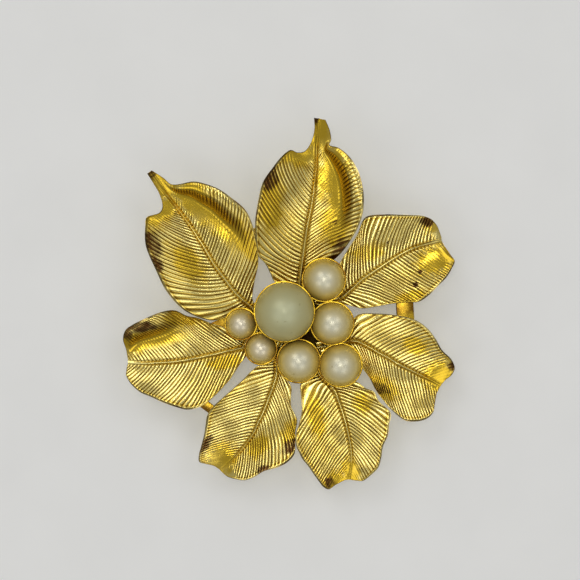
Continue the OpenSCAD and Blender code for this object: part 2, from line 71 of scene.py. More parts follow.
# Height in mm of the plate's front face, which the leaves lie on
SEAT_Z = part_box("centre_plate")[1][2] / MM

# Each leaf: its length in mm, its base point and heading, and its vein stations from base to tip.
# A station is midrib, left rim and right rim. Each of them is along, across and height: along and
# across in hundredths of the leaf's length, height in mm above the seat.
LEAVES = {
    "top_left": (29.2, (-6.3, -1.2, 126), (
        ((-8, -1.2, 0), (-8, 1.4, 0), (-8, -4, 0)),
        ((-4, -1, 0), (-4, 1.6, 0), (-4, -4, 0)),
        ((1, -0.8, 0), (2, 3.5, 0.1), (1, -3.2, 0)),
        ((5.4, 0, 0.1), (5.6, 9, 0.4), (5, -4, 0.1)),
        ((7.4, 0.6, 0.2), (6.8, 17, 1), (8, -6, 0.15)),
        ((10, 1, 0.3), (11, 24, 1.6), (13, -11, 0.3)),
        ((15, 1.8, 0.5), (23, 31.5, 2.2), (22, -20.5, 0.9)),
        ((25, 2, 0.9), (38, 33.5, 2.5), (36, -28, 2)),
        ((35, 2, 1.2), (53, 31, 2.9), (49, -31.4, 3.6)),
        ((45, 1, 1.4), (67, 27.5, 3.4), (60, -29, 4.6)),
        ((54, 0.4, 1.6), (77, 20.5, 3.4), (68.5, -26, 5)),
        ((60, 0, 1.7), (80, 17, 3), (75.6, -21.4, 5)),
        ((68, 0, 1.9), (78, 10, 2.4), (80.8, -16.5, 4.6)),
        ((76, 0, 2.2), (80.5, 6, 2.4), (84.5, -9, 3.8)),
        ((84, 0.4, 2.7), (87, 3.5, 2.8), (87.5, -5.2, 3.2)),
        ((92, 0.8, 3.6), (94, 2.7, 3.6), (93, -3.8, 3.8)),
        ((100, 0.6, 4.6), (100, 2.2, 4.5), (100, -1, 4.6)),
    )),
    "top": (29.2, (1.5, 2.4, 84), (
        ((-12, -1, 0), (-12, 2, 0), (-12, -4, 0)),
        ((-4, -1, 0), (-5, 3, 0), (-4, -4.2, 0)),
        ((1, -1, 0), (-1, 8, 0.1), (1, -4.5, 0)),
        ((4, -0.9, 0.1), (3, 14, 0.2), (6, -5.3, 0.1)),
        ((7.6, -0.8, 0.2), (8.5, 17.5, 0.4), (11, -6.6, 0.1)),
        ((12, -0.8, 0.35), (13, 20.5, 0.6), (14.6, -10.5, 0.2)),
        ((15.4, -0.9, 0.5), (17, 25, 0.9), (18.8, -18, 0.7)),
        ((19, -1, 0.65), (21, 27, 1.2), (25, -23.5, 1.6)),
        ((24, -1, 0.8), (29, 28, 1.6), (33, -28, 2.2)),
        ((30, -1.2, 1), (38, 29, 2), (40, -31, 3)),
        ((38, -1.6, 1.2), (50, 28.3, 2.8), (49, -32.7, 4)),
        ((46, -2.4, 1.3), (60, 26.8, 3.4), (59, -32, 4.8)),
        ((54, -3, 1.5), (69, 22, 3.6), (68, -29.3, 5)),
        ((60, -3.2, 1.6), (76, 17.5, 3.3), (75, -25.5, 5)),
        ((65, -3.2, 1.7), (80.3, 13, 3), (80.6, -20.5, 4.8)),
        ((71, -3.2, 1.9), (79.5, 8.7, 2.4), (84.4, -14.6, 4.2)),
        ((78, -2.6, 2.2), (81, 4.2, 2.4), (85.5, -9.6, 3.4)),
        ((85, -2, 2.8), (87, 1.2, 2.8), (89, -10, 3.2)),
        ((92, -1.8, 3.6), (94, 0.3, 3.6), (94, -8.6, 3.8)),
        ((100, -1.6, 4.6), (100, 1.2, 4.5), (99.6, -5.4, 4.6)),
    )),
    "upper_right": (20, (9.2, 1.2, 17), (
        ((-24, 0, 0), (-24, 4, 0), (-24, -4, 0)),
        ((-12, 0, 0), (-12, 4, 0), (-12, -4.5, 0)),
        ((-4, 0, 0), (-3, 5.5, 0), (-4, -5.5, 0)),
        ((0, 0.6, 0.1), (2, 14, 0.1), (4, -9, 0.1)),
        ((5, 2.8, 0.2), (5, 27, 0.3), (12, -14, 0.2)),
        ((10, 5, 0.3), (14, 36, 0.4), (22, -16, 0.4)),
        ((20, 9.5, 0.5), (27, 47.3, 0.5), (38, -17.8, 0.8)),
        ((30, 12.6, 0.7), (38, 59.3, 0.7), (50, -20, 1.2)),
        ((40, 15.7, 0.9), (54, 57, 1.2), (60, -22.8, 1.6)),
        ((50, 18.6, 1), (66, 53, 1.6), (70, -19.8, 1.9)),
        ((60, 21, 1.1), (76, 49.6, 1.7), (80, -14.5, 1.9)),
        ((70, 22.3, 1.1), (84.5, 46.4, 1.6), (89, -9.6, 1.7)),
        ((80, 22.3, 1), (91, 41.5, 1.3), (96, -3.5, 1.3)),
        ((86, 22, 0.9), (94.3, 35, 0.9), (100, 1.5, 0.9)),
        ((91, 21.6, 0.7), (95, 29, 0.6), (98.2, 7.6, 0.6)),
        ((94.6, 21, 0.5), (95.2, 24, 0.5), (96, 15, 0.5)),
    )),
    "lower_right": (19, (10, -5.8, -16), (
        ((-24, -16, 0), (-26, -12, 0), (-22, -20, 0)),
        ((-14, -11, 0), (-15.5, -7, 0), (-12, -15, 0)),
        ((-4, -6, 0), (-5, -1.5, 0), (-2, -11, 0)),
        ((1, -3, 0.1), (-2.5, 9, 0.1), (8, -13, 0.1)),
        ((5, -1.5, 0.2), (3, 22.5, 0.2), (16, -20, 0.2)),
        ((10, -1, 0.3), (18, 28, 0.5), (28, -28.5, 0.3)),
        ((20, -2.5, 0.5), (38, 32, 1), (37, -38, 0.5)),
        ((30, -5, 0.7), (53, 32.3, 1.5), (46, -45, 0.7)),
        ((40, -7, 0.8), (65, 28.5, 1.8), (56, -51.5, 1)),
        ((50, -10, 0.9), (75, 21.5, 1.9), (69, -56.8, 1.3)),
        ((60, -11.8, 0.9), (84, 13, 1.7), (80, -54.8, 1.4)),
        ((70, -13.6, 0.8), (94, 7.5, 1.3), (88, -50, 1.3)),
        ((78, -15, 0.7), (99.5, 1, 0.9), (92, -43, 1)),
        ((84, -16, 0.6), (99, -6, 0.6), (91.3, -34, 0.7)),
        ((88.5, -17, 0.5), (95, -12, 0.5), (90.6, -26, 0.5)),
        ((92.4, -18, 0.4), (93.6, -15, 0.4), (91.6, -21, 0.4)),
    )),
    "bottom": (18, (6.8, -12.6, -78), (
        ((-28, -3, 0), (-28, 1.2, 0), (-29, -7.2, 0)),
        ((-17, -6, 0), (-17, -1.6, 0), (-18, -10.4, 0)),
        ((-6, -8.5, 0), (-5, -3, 0), (-9, -14, 0)),
        ((1.4, -5.2, 0.1), (3.4, 4, 0.1), (-5, -21, 0.1)),
        ((5.6, -1.6, 0.2), (6.4, 15, 0.2), (1, -28, 0.2)),
        ((8, 0.6, 0.25), (9.5, 25, 0.3), (12, -29.8, 0.3)),
        ((11, 2, 0.3), (17, 32, 0.35), (25, -31.8, 0.5)),
        ((15, 3.2, 0.35), (22, 39, 0.4), (37, -37, 0.7)),
        ((20, 4, 0.4), (32, 42, 0.6), (47, -42.5, 0.9)),
        ((26, 4.7, 0.45), (44, 50, 0.8), (57, -43.8, 1.1)),
        ((33, 5.6, 0.5), (55, 46.5, 1), (63, -42.4, 1.2)),
        ((41, 6.3, 0.5), (65, 43, 1.1), (70, -40.6, 1.2)),
        ((50, 6.8, 0.5), (74, 36.5, 1.1), (77, -37, 1.2)),
        ((58, 6.8, 0.4), (84, 32.7, 1), (85, -33.7, 1.1)),
        ((66, 6.8, 0.3), (93, 27.8, 0.8), (93, -30.2, 0.9)),
        ((74, 6, 0.2), (99, 19, 0.4), (100, -26.8, 0.6)),
        ((82, 4.6, 0), (102.5, 11.6, 0), (103.6, -22, 0.2)),
        ((91, 1.4, -0.2), (101.4, 5.8, -0.2), (101, -15, -0.1)),
        ((98.8, -1.6, -0.4), (99.8, 1.2, -0.4), (98.7, -6, -0.4)),
    )),
    "lower_left": (20.6, (-1.9, -10.9, -131), (
        ((-20, -12, 0), (-21, -8.4, 0), (-18.4, -15.4, 0)),
        ((-9, -7.2, 0), (-10.4, -3.8, 0), (-7.6, -10.6, 0)),
        ((-2, -3.6, 0), (-2, 0.5, 0), (-1.5, -8, 0)),
        ((1, -0.6, 0.1), (1.6, 9, 0.1), (4, -9.6, 0.1)),
        ((4, 1.8, 0.2), (5, 19, 0.2), (10, -13.6, 0.2)),
        ((7.5, 4, 0.25), (12, 24.5, 0.3), (17, -15, 0.3)),
        ((11, 5.7, 0.3), (18, 30.5, 0.3), (25, -15.4, 0.5)),
        ((15, 7.3, 0.35), (22, 40, 0.3), (35, -16.6, 0.7)),
        ((20.5, 9.2, 0.4), (31, 46, 0.3), (46, -18, 0.9)),
        ((26, 11.4, 0.45), (38, 52, 0.4), (56, -19.3, 1.1)),
        ((31, 13.2, 0.5), (45, 57, 0.6), (63, -19.4, 1.2)),
        ((37, 15.2, 0.5), (54, 57, 0.9), (69, -18, 1.2)),
        ((44, 17, 0.5), (63, 53.2, 1.1), (75, -14.2, 1.2)),
        ((52, 19.6, 0.5), (72, 47.3, 1.2), (82, -9.8, 1.1)),
        ((60, 21, 0.4), (81, 44.4, 1.1), (90, -5.8, 1)),
        ((68, 21.6, 0.3), (88.5, 40, 0.9), (97, -2.4, 0.7)),
        ((76, 21.8, 0.2), (93, 33.4, 0.6), (101.6, 1.6, 0.4)),
        ((84, 21.6, 0), (95.6, 28, 0.2), (100, 6.4, 0.1)),
        ((91, 21, -0.1), (96, 24, -0.1), (96.6, 13, -0.1)),
        ((96, 20.4, -0.2), (96, 21.6, -0.2), (95.8, 18, -0.2)),
    )),
    "left": (20.6, (-7.1, -7.3, -173), (
        ((-12, -13.7, 0), (-13.8, -11.2, 0), (-10.6, -16.2, 0)),
        ((-8, -11, 0), (-9.8, -8.4, 0), (-6.4, -13.6, 0)),
        ((-4.2, -8.4, 0), (-6, -5.8, 0), (-2.4, -11, 0)),
        ((1, -4, 0), (1, -0.6, 0), (4, -8.6, 0)),
        ((4, 0, 0.1), (2, 7.4, 0.1), (9, -10.6, 0)),
        ((8, 0.6, 0.2), (8, 13.6, 0.2), (15, -16.4, -0.2)),
        ((12, 1.1, 0.3), (17, 24.4, 0.3), (21, -20, -0.4)),
        ((17, 1.5, 0.4), (25, 31.6, 0.5), (28, -23, -0.4)),
        ((25, 2.6, 0.5), (34, 38.6, 0.8), (38, -28.6, -0.2)),
        ((33, 3.2, 0.6), (44, 44, 1.1), (47, -31.6, 0.2)),
        ((42, 4, 0.7), (55, 45.6, 1.4), (56, -37.2, 0.9)),
        ((50, 4.6, 0.8), (65, 42, 1.6), (65, -37.6, 2.2)),
        ((58, 4.8, 0.8), (75, 37, 1.6), (74, -35.6, 3)),
        ((67, 4.6, 0.8), (84, 31.4, 1.6), (83, -32.8, 3.4)),
        ((75, 4.1, 0.8), (92.5, 26.4, 1.5), (91, -30, 3.4)),
        ((83, 3.6, 0.8), (99, 19.4, 1.2), (98, -26, 3)),
        ((90, 2.8, 0.7), (102.6, 12, 0.9), (101.2, -18.6, 2)),
        ((95, 2, 0.7), (102, 7.2, 0.7), (100, -10, 1.1)),
        ((100, 1, 0.6), (100.8, 3.2, 0.6), (99.8, -2.6, 0.6)),
    )),
}

# How each leaf is finished.
# roll: the side whose rim rolls over, -1 for the right one, and the first and last station of it.
# sweep: how many veins far the right and left veins reach towards the tip, at the rim.
# lean: how many veins far they bow towards the tip, half way to the rim.
# Three kinds of patch: ovals where the veins fade, ovals where a deeper gold paints a dim reflection, and
# ovals where brown is partly browning and partly painted shadow.
# A patch is along, across, half length and half width in hundredths of the leaf's length.
# pits: small dents, each as along, across and radius in the same measure.
FINISH = {
    "top_left": {
        "roll": (-1, 7.5, 14.5),
        "sweep": (5.0, 5.5),
        "lean": (0.5, 0.0),
        "polished": ((72, -11, 17, 8), (79, 10, 6, 12), (93, 0, 12, 8)),
        "warm": ((68, -12, 18, 10), (78, 10, 8, 14), (93, 0, 14, 8), (36, -20, 18, 6), (45, 14, 14, 7)),
        "dark": ((66, 24, 9, 5), (55, 29, 6, 4), (99, 0, 4, 4)),
        "pits": (),
    },
    "top": {
        "roll": (-1, 10, 17.5),
        "sweep": (4.5, 6.0),
        "lean": (2.0, 0.0),
        "polished": ((72, -12, 16, 8), (80, 8, 6, 12), (93, -2, 12, 9)),
        "warm": ((70, -13, 18, 10), (78, 8, 8, 14), (93, -2, 14, 9), (50, 20, 16, 6), (40, -18, 12, 8)),
        "dark": ((63, 23, 7, 5), (25, -22, 9, 5), (100, 1, 4, 3)),
        "pits": ((41.5, -17.5, 1.3),),
    },
    "upper_right": {
        "roll": None,
        "sweep": (4.5, 3.0),
        "lean": (1.0, 0.0),
        "polished": ((88, 8, 16, 11), (93, 30, 5, 8)),
        "warm": ((86, 8, 18, 13), (90, 38, 8, 9), (54, -17, 14, 5), (30, 30, 16, 8)),
        "dark": ((88, 41, 7, 6),),
        "pits": ((62, -8, 2.4), (69, 1, 1.7), (50, 33, 1.1)),
    },
    "lower_right": {
        "roll": None,
        "sweep": (4.0, 4.0),
        "lean": (0.5, 0.5),
        "polished": ((90, -10, 12, 12), (95, -1, 8, 8)),
        "warm": ((88, -11, 15, 14), (38, -36, 20, 12), (60, 10, 12, 8)),
        "dark": ((36, -36, 14, 6), (97, 2, 5, 5)),
        "pits": (),
    },
    "bottom": {
        "roll": None,
        "sweep": (4.0, 4.0),
        "lean": (0.5, 0.5),
        "polished": ((95, 3, 12, 7), (99, -12, 7, 10)),
        "warm": ((92, 2, 14, 9), (98, -14, 10, 11), (30, -20, 22, 8), (30, 26, 10, 9)),
        "dark": ((97, -20, 6, 5),),
        "pits": (),
    },
    "lower_left": {
        "roll": None,
        "sweep": (4.5, 4.5),
        "lean": (0.5, 0.5),
        "polished": ((90, 14, 11, 11), (94, 26, 6, 10)),
        "warm": ((88, 14, 14, 14), (60, 30, 12, 8), (30, 44, 14, 8)),
        "dark": ((88, -4, 10, 4), (72, 46, 6, 4), (42, 50, 8, 5)),
        "pits": (),
    },
    "left": {
        "roll": (-1, 10.5, 16.5),
        "sweep": (8.0, 5.0),
        "lean": (0.5, 0.5),
        "polished": ((96, -14, 8, 8), (82, -24, 12, 4)),
        "warm": ((92, -14, 12, 9), (50, -30, 14, 7), (20, 10, 14, 6)),
        "dark": ((86, -27, 15, 4.5), (97, -22, 6, 5)),
        "pits": (),
    },
}

# Each pearl: the tint it is lacquered in
PEARLS = {
    "centre": "grey",
    "upper_right": "cream",
    "right": "cream",
    "lower_right": "cream",
    "bottom": "cream",
    "lower_left": "pink",
    "left": "pink",
}

# Each tint of lacquer: its slot, the setting that colours its edge with painted gold reflection and shade,
# its roughness and its sheen
LACQUERS = {
    "grey": ("pearl_grey_cream", "gold_reflection_edge_grey", 0.36, 0.18),
    "cream": ("pearl_cream", "limb", 0.29, 0.32),
    "pink": ("pearl_pink_cream", "limb", 0.26, 0.38),
}

# Soft boxes round the brooch: name, azimuth and elevation in degrees, distance and width in
# metres, and how brightly each one glows
SOFTBOXES = (
    ("overhead_box", 110, 86, 0.65, 0.17, 7.0),
    ("window_box", 125, 55, 0.7, 0.32, 2.4),
    ("right_box", 35, 55, 0.7, 0.3, 1.7),
    ("lower_left_box", 215, 55, 0.7, 0.3, 1.4),
    ("lower_right_box", 305, 55, 0.7, 0.3, 1.4),
)

# The room's light: height from below (0) to straight above (1), and its colour there
ROOM_TONES = (
    (0.0, (0.20, 0.19, 0.18)),
    (0.45, (0.4, 0.39, 0.38)),
    (0.95, (0.42, 0.42, 0.42)),
)

# Parts on the back that share one plain gold, and the two tones of the pin's wire
GOLD_FINDING = ("pin_bar", "hinge_cheeks", "hinge_rivet", "catch_rings", "lock_barrel")
WIRE_DULL = (0.62, 0.56, 0.42)
WIRE_BRIGHT = (0.8, 0.76, 0.64)

# Where a blade's features lie, as shares of the way from the midrib to the rim.
# A LINE is its middle and half width; the rest are where a change starts and ends.
VEINS_END = (0.93, 0.98)
BORDER_EDGE = (0.955, 0.985)
# The rim band that is darkened for wear and for a painted dark reflection
WORN_AND_REFLECTION_EDGE = (0.96, 0.982)
# A thin line of painted shade just inside the rim's border
RIM_SHADE_LINE = (0.935, 0.018)
ROLL_SMOOTH_START = (0.3, 0.45)
ROLL_SMOOTH_END = (0.64, 0.74)
# The line of painted shadow under a rolled lip
LIP_SHADOW_LINE = (0.72, 0.07)
ROLL_LIFT = (0.56, 0.82)
ROLL_TURN = (0.88, 1.0)

# Widths and distances across a blade in mm, measured from the midrib
VEINS_START = (0.24, 0.6)
RIB_LINE = (0.0, 0.25)
GROOVE_LINE = (0.42, 0.12)

# Stations over which the veins fade in from the base
VEINS_FADE_IN = (1.5, 3.0)
# Height in mm of the ring round a pit; the pit itself is 1.2 times as deep
PIT_RING = 0.09

# Nominal radius of a pearl's drilled hole, and its depth as a share of the pearl's radius
DRILL_R = 0.5 * MM
DRILL_DEPTH = 0.5
# Where a pearl's painted edge tone, of gold reflection and shade, starts and over how much it fades in, as
# shares of its radius
REFLECTION_EDGE_START = 0.25
REFLECTION_EDGE_WIDTH = 0.65

# A cup's gap round its pearl, its foot, the angle in radians at which its inside ends, and its steps
CUP_GAP = 0.02 * MM
FOOT_R = 1.2 * MM
FOOT_BEVEL = 0.12 * MM
CUP_FLOOR_ANGLE = 0.12
CUP_STEPS = 14
# Corners of a cup's rolled lip, outwards and upwards from the end of its outside, in mm
LIP = ((0.10, 0.02), (0.08, 0.13), (-0.08, 0.17))


# ---------------------------------------------------------------- shader helpers


class Maths:
    """Wraps a shader socket so that sums on it are written as plain expressions."""

    def __init__(self, tree, socket):
        self.tree = tree
        self.socket = socket

    def _apply(self, operation, *values):
        return self.tree.value("ShaderNodeMath", {"operation": operation}, *values)

    def __add__(self, other):
        return self._apply("ADD", self, other)

    def __radd__(self, other):
        return self._apply("ADD", other, self)

    def __sub__(self, other):
        return self._apply("SUBTRACT", self, other)

    def __mul__(self, other):
        return self._apply("MULTIPLY", self, other)

    def __rmul__(self, other):
        return self._apply("MULTIPLY", other, self)

    def above(self, limit):
        return self._apply("GREATER_THAN", self, limit)

    def clamped(self):
        return self.tree.value("ShaderNodeClamp", {}, self)


class Tree:
    """The node tree of a material or a world, with one method that adds any node."""

    def __init__(self, owner):
        self.owner = owner
        owner.use_nodes = True
        self.nodes = owner.node_tree.nodes
        self.links = owner.node_tree.links

    def node(self, kind, settings=None, inputs=None):
        made = self.nodes.new(kind)
        for key, setting in (settings or {}).items():
            if key == "stops":
                ramp = made.color_ramp
                while len(ramp.elements) < len(setting):
                    ramp.elements.new(0.5)
                for element, (place, colour) in zip(ramp.elements, setting):
                    element.position = place
                    element.color = (*colour, 1)
            else:
                setattr(made, key, setting)
        for key, given in (inputs or {}).items():
            self.feed(made.inputs[key], given)
        return made

    def feed(self, socket, given):
        if isinstance(given, Maths):
            given = given.socket
        if isinstance(given, bpy.types.NodeSocket):
            self.links.new(given, socket)
        elif socket.type == "RGBA":
            socket.default_value = (*given, 1)
        else:
            socket.default_value = given

    def value(self, kind, settings, *values):
        made = self.node(kind, settings, dict(enumerate(values)))
        return Maths(self, made.outputs[0])

    def place(self):
        return self.node("ShaderNodeTexCoord").outputs["Object"]

    def height(self, where):
        made = self.node("ShaderNodeSeparateXYZ", None, {"Vector": where})
        return Maths(self, made.outputs["Z"])

    def noise(self, scale, detail=3.0, stretch=None):
        where = self.place()
        if stretch:
            where = self.node("ShaderNodeMapping", None, {"Vector": where, "Scale": stretch}).outputs[0]
        made = self.node("ShaderNodeTexNoise", None, {"Vector": where, "Scale": scale, "Detail": detail})
        return Maths(self, made.outputs["Fac"])

    def ramp(self, factor, *stops):
        return self.node("ShaderNodeValToRGB", {"stops": stops}, {"Fac": factor}).outputs["Color"]

    def attribute(self, name):
        made = self.node("ShaderNodeAttribute", {"attribute_name": name})
        return Maths(self, made.outputs["Fac"])

    def mix(self, factor, first, second):
        made = self.node("ShaderNodeMix", {"data_type": "RGBA"}, {0: factor, 6: first, 7: second})
        return made.outputs[2]

    def bump(self, height, distance, strength):
        inputs = {"Height": height, "Distance": distance, "Strength": strength}
        return self.node("ShaderNodeBump", None, inputs).outputs[0]

    def finish(self, shader_name, **sockets):
        """Feeds the tree's own shader, and hands back the material or world."""
        for name, given in sockets.items():
            self.feed(self.nodes[shader_name].inputs[name.replace("_", " ")], given)
        return self.owner


def paint(name):
    return Tree(bpy.data.materials.new(name))


def dimmed(colour, share):
    return tuple(share * c for c in colour)


# ---------------------------------------------------------------- finishes


def leaf_gold(look):
    """Gold plate with a pale copy that paints highlights and a deeper copy that paints dim reflections. It
    has painted shade in the grooves, brown patches and pits that are partly painted shadow, and rims
    darkened by wear and by a painted dark reflection.
    """
    tree = paint("leaf_gold")
    drift = tree.noise(110, 2)
    # Where this mark is high, the plain gold replaces the paler copy: painted dim reflections, mixed with
    # random drift in tone
    warm = (tree.attribute("warm") + 1.6 * drift - 0.75).clamped()
    tone = tree.mix(warm, look.gold_lit, look.gold)
    # Painted shade in the grooves, deepening the gold to a dark brown
    hollow = tree.attribute("hollow")
    tone = tree.mix((hollow * 2.2).clamped(), tone, look.gold)
    tone = tree.mix((hollow * 2.4 - 0.5).clamped(), tone, look.gold_deep_and_shade)
    # Brown patches, partly browning and partly painted shadow, as beside the pearls, in pits and under a
    # rolled lip
    brown_and_shadow_patch = tree.attribute("dark") * (0.7 + 1.3 * tree.noise(600, 3) + 0.9 * hollow) * 1.5 - 0.55
    tone = tree.mix(brown_and_shadow_patch.clamped(), tone, look.gold_brown_and_shadow)
    # Dark rims, partly wear and partly a painted dark reflection of the floor
    wear = tree.attribute("wear") * (0.2 + 1.2 * tree.noise(240, 2))
    tone = tree.mix(wear.clamped(), tone, look.gold_worn_and_dark_reflection)
    grain = tree.noise(900, 3)
    fine = tree.noise(4200, 2)
    return tree.finish(
        "Principled BSDF",
        Base_Color=tone,
        Metallic=1.0,
        Roughness=(0.14 + 0.1 * grain + 0.2 * hollow).clamped(),
        Normal=tree.bump(fine, 0.02 * MM, 0.5),
    )


def drifting_gold(tree, look):
    """A gold that drifts from deep to bright, the drift itself, and a finer noise."""
    drift = tree.noise(300, 3)
    tone = tree.ramp(drift, (0.35, look.gold_deep_and_shade), (0.65, look.gold))
    return tone, drift, tree.noise(2600, 3)


def plain_gold(name, look, roughness):
    """Gold plate on the cups, struts and finding, in an uneven tone."""
    tree = paint(name)
    tone, _, fine = drifting_gold(tree, look)
    return tree.finish(
        "Principled BSDF",
        Base_Color=tone,
        Metallic=1.0,
        Roughness=roughness + 0.16 * fine,
        Normal=tree.bump(fine, 0.03 * MM, 0.6),
    )


def plate_gold(look):
    """Gold plate with painted shade on its front face, round the feet of the cups."""
    tree = paint("plate_gold")
    tone, drift, fine = drifting_gold(tree, look)
    # Painted shade on the plate's front face, where it lies between the pearls
    front_shade = tree.height(tree.place()).above(SEAT_Z * MM - 0.1 * MM)
    tone = tree.mix(front_shade * (0.8 + 0.2 * drift), tone, dimmed(look.gold_brown_and_shadow, 0.35))
    return tree.finish(
        "Principled BSDF",
        Base_Color=tone,
        Metallic=1.0,
        Roughness=(0.26 + 0.16 * fine + 0.3 * front_shade).clamped(),
        Normal=tree.bump(fine, 0.03 * MM, 0.6),
    )


def steel_wire():
    """Gold-washed steel wire with fine drawn lines along it."""
    tree = paint("steel_wire")
    drawn = tree.noise(900, 3, stretch=(0.2, 1.0, 1.0))
    return tree.finish(
        "Principled BSDF",
        Base_Color=tree.ramp(drawn, (0.35, WIRE_DULL), (0.65, WIRE_BRIGHT)),
        Metallic=1.0,
        Roughness=0.2 + 0.15 * drawn,
        Normal=tree.bump(drawn, 0.02 * MM, 0.6),
    )


def pearl_lacquer(name, tint, edge, gloss, sheen):
    """Satin pearl lacquer: a pale heart with a painted gold reflection and shade towards its edge and over
    its underside, with pinholes and scuffs.
    """
    tree = paint(name)
    drift = tree.noise(420, 3)
    body = tree.ramp(drift, (0.3, dimmed(tint, 0.88)), (0.7, tint))
    # Painted reflection of the gold leaves and painted shade towards the edge and underside
    tone = tree.mix((tree.attribute("limb") + 0.25 * drift - 0.12).clamped(), body, edge)
    pits = tree.noise(1300, 1)
    pit = Maths(tree, tree.ramp(pits, (0.72, (0, 0, 0)), (0.78, (1, 1, 1))))
    tone = tree.mix(pit * 0.4, tone, dimmed(edge, 0.6))
    fine = tree.noise(2400, 4)
    return tree.finish(
        "Principled BSDF",
        Base_Color=tone,
        Metallic=sheen,
        Roughness=gloss + 0.1 * fine,
        Specular_IOR_Level=0.8,
        Normal=tree.bump(0.3 * fine + drift - pit, 0.03 * MM, 0.5),
    )


# ---------------------------------------------------------------- modelling helpers


def start_clean():
    if bpy.context.object and bpy.context.object.mode != "OBJECT":
        bpy.ops.object.mode_set(mode="OBJECT")
    bpy.ops.object.select_all(action="DESELECT")


def only(piece):
    start_clean()
    piece.select_set(True)
    bpy.context.view_layer.objects.active = piece


def apply_modifier(piece, kind, **settings):
    only(piece)
    modifier = piece.modifiers.new(kind.title(), kind)
    for key, setting in settings.items():
        setattr(modifier, key, setting)
    bpy.ops.object.modifier_apply(modifier=modifier.name)


def finish_piece(piece, name, material, replaces, body="root"):
    piece.name = name
    piece.data.name = name
    piece.data.materials.clear()
    piece.data.materials.append(material)
    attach(piece, body)
    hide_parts(*replaces)


def join_pieces(pieces):
    start_clean()
    for piece in pieces:
        piece.select_set(True)
    bpy.context.view_layer.objects.active = pieces[0]
    bpy.ops.object.join()
    return bpy.context.object


def middle_and_width(node):
    low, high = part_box(node)
    return [(a + b) / 2 for a, b in zip(low, high)], high[0] - low[0]


# ---------------------------------------------------------------- leaf surface


def smooth(points, t):
    """Points on the smooth curve through the given ones, at station numbers t."""
    last = len(points) - 1
    i = np.clip(np.floor(t).astype(int), 0, last - 1)
    f = (t - i)[:, None]
    a, b, c, d = (points[np.clip(i + k, 0, last)] for k in (-1, 0, 1, 2))
    return (2 * b + (c - a) * f + (2 * a - 5 * b + 4 * c - d) * f**2 + (3 * b - a - 3 * c + d) * f**3) / 2


def soft_step(x, low, high):
    s = np.clip((x - low) / (high - low), 0, 1)
    return s * s * (3 - 2 * s)


def bell(x, middle, width):
    return np.exp(-(((x - middle) / width) ** 2))


def ripple(x, y, seed):
    """A smooth wobble between -1 and 1 that hardly repeats over a leaf."""
    return (
        np.sin(1.7 * x + 2.3 * y + seed)
        + np.sin(-2.9 * x + 1.1 * y + 2.1 * seed)
        + np.sin(0.7 * x - 3.7 * y + 3.3 * seed)
    ) / 3


def midrib_run(mids, size):
    """Station numbers along the midrib, with the distance in mm at which each one lies."""
    fine = np.linspace(0, len(mids) - 1, 2000)
    path = smooth(mids, fine)[:, :2] * size / 100
    steps = np.linalg.norm(np.diff(path, axis=0), axis=1)
    return fine, np.concatenate([[0], np.cumsum(steps)])


def column_shares(count):
    """Shares of the half width, closer together at the midrib and at the rim."""
    even = np.linspace(0, 1, count)
    return even - 0.11 * np.sin(2 * math.pi * even)


def patches(along, across, spots, soft):
    """How far each point lies inside the nearest of some soft-edged oval patches, 0 to 1."""
    inside = np.zeros_like(along)
    for u, v, half_u, half_v in spots:
        ragged = 0.28 * ripple(along / 3.5, across / 3.5, u)
        d = np.hypot((along - u) / half_u, (across - v) / half_v) + ragged
        inside = np.maximum(inside, 1 - soft_step(d, 1 - soft, 1 + soft))
    return inside


